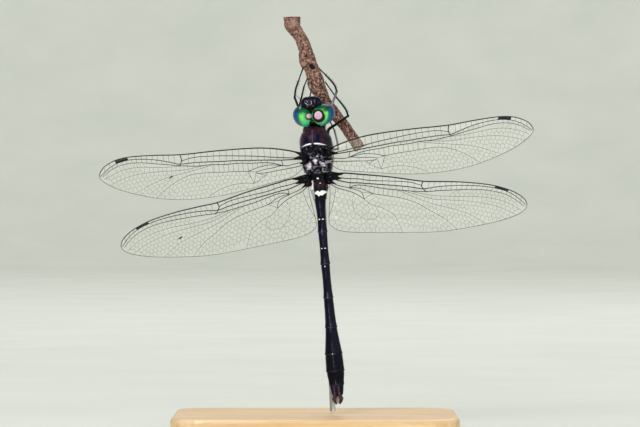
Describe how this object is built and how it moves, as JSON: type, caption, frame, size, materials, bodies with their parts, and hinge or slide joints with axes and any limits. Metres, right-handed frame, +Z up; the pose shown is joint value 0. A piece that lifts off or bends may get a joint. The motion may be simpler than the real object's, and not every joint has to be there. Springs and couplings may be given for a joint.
{
  "type": "dragonfly display model",
  "caption": "Life-size stream cruiser dragonfly with wings spread, hanging by its feet from a cut twig that a slim rod holds on a flat wooden base.",
  "frame": {"origin": "middle of the bounding box at its bottom, which is the middle of the underside of the stand's base", "axes": "+X to the insect's right across the wings, -Y is the way its back faces, +Z up, towards the head and the top of the twig"},
  "size_m": [0.091, 0.044, 0.0881],
  "materials": {
    "black_cuticle": "black insect cuticle with a blue sheen, satin",
    "blue_black_cuticle": "metallic blue-black insect cuticle, glossy",
    "purple_brown_cuticle": "purple-brown insect cuticle with pale bloom, satin",
    "pale_cuticle": "pinkish brown insect cuticle, satin",
    "green_eye": "bright green and blue faceted eye, glossy",
    "wing_membrane": "clear wing membrane with black veins",
    "bark": "rough brown bark",
    "steel": "fine brushed steel rod",
    "maple": "satin lacquered maple"
  },
  "bodies": {
    "root": {"mouthparts": "black_cuticle", "antenna_left": "black_cuticle", "antenna_right": "black_cuticle", "clasper_left": "black_cuticle", "clasper_right": "black_cuticle", "abdomen_1": "black_cuticle", "abdomen_2": "black_cuticle", "abdomen_3": "black_cuticle", "abdomen_4": "black_cuticle", "abdomen_5": "black_cuticle", "abdomen_6": "black_cuticle", "abdomen_7": "black_cuticle", "abdomen_8": "black_cuticle", "abdomen_9": "black_cuticle", "abdomen_10": "black_cuticle", "thigh_fore_left": "black_cuticle", "thigh_fore_right": "black_cuticle", "thigh_mid_left": "black_cuticle", "thigh_mid_right": "black_cuticle", "thigh_hind_left": "black_cuticle", "thigh_hind_right": "black_cuticle", "shin_fore_left": "black_cuticle", "shin_fore_right": "black_cuticle", "shin_mid_left": "black_cuticle", "shin_mid_right": "black_cuticle", "shin_hind_left": "black_cuticle", "shin_hind_right": "black_cuticle", "head": "blue_black_cuticle", "neck": "purple_brown_cuticle", "thorax": "purple_brown_cuticle", "tail_plate": "pale_cuticle", "eye_left": "green_eye", "eye_right": "green_eye", "forewing_left": "wing_membrane", "forewing_right": "wing_membrane", "hindwing_left": "wing_membrane", "hindwing_right": "wing_membrane", "perch": "bark", "stand_rod": "steel", "stand_base": "maple"}
  },
  "joints": []
}
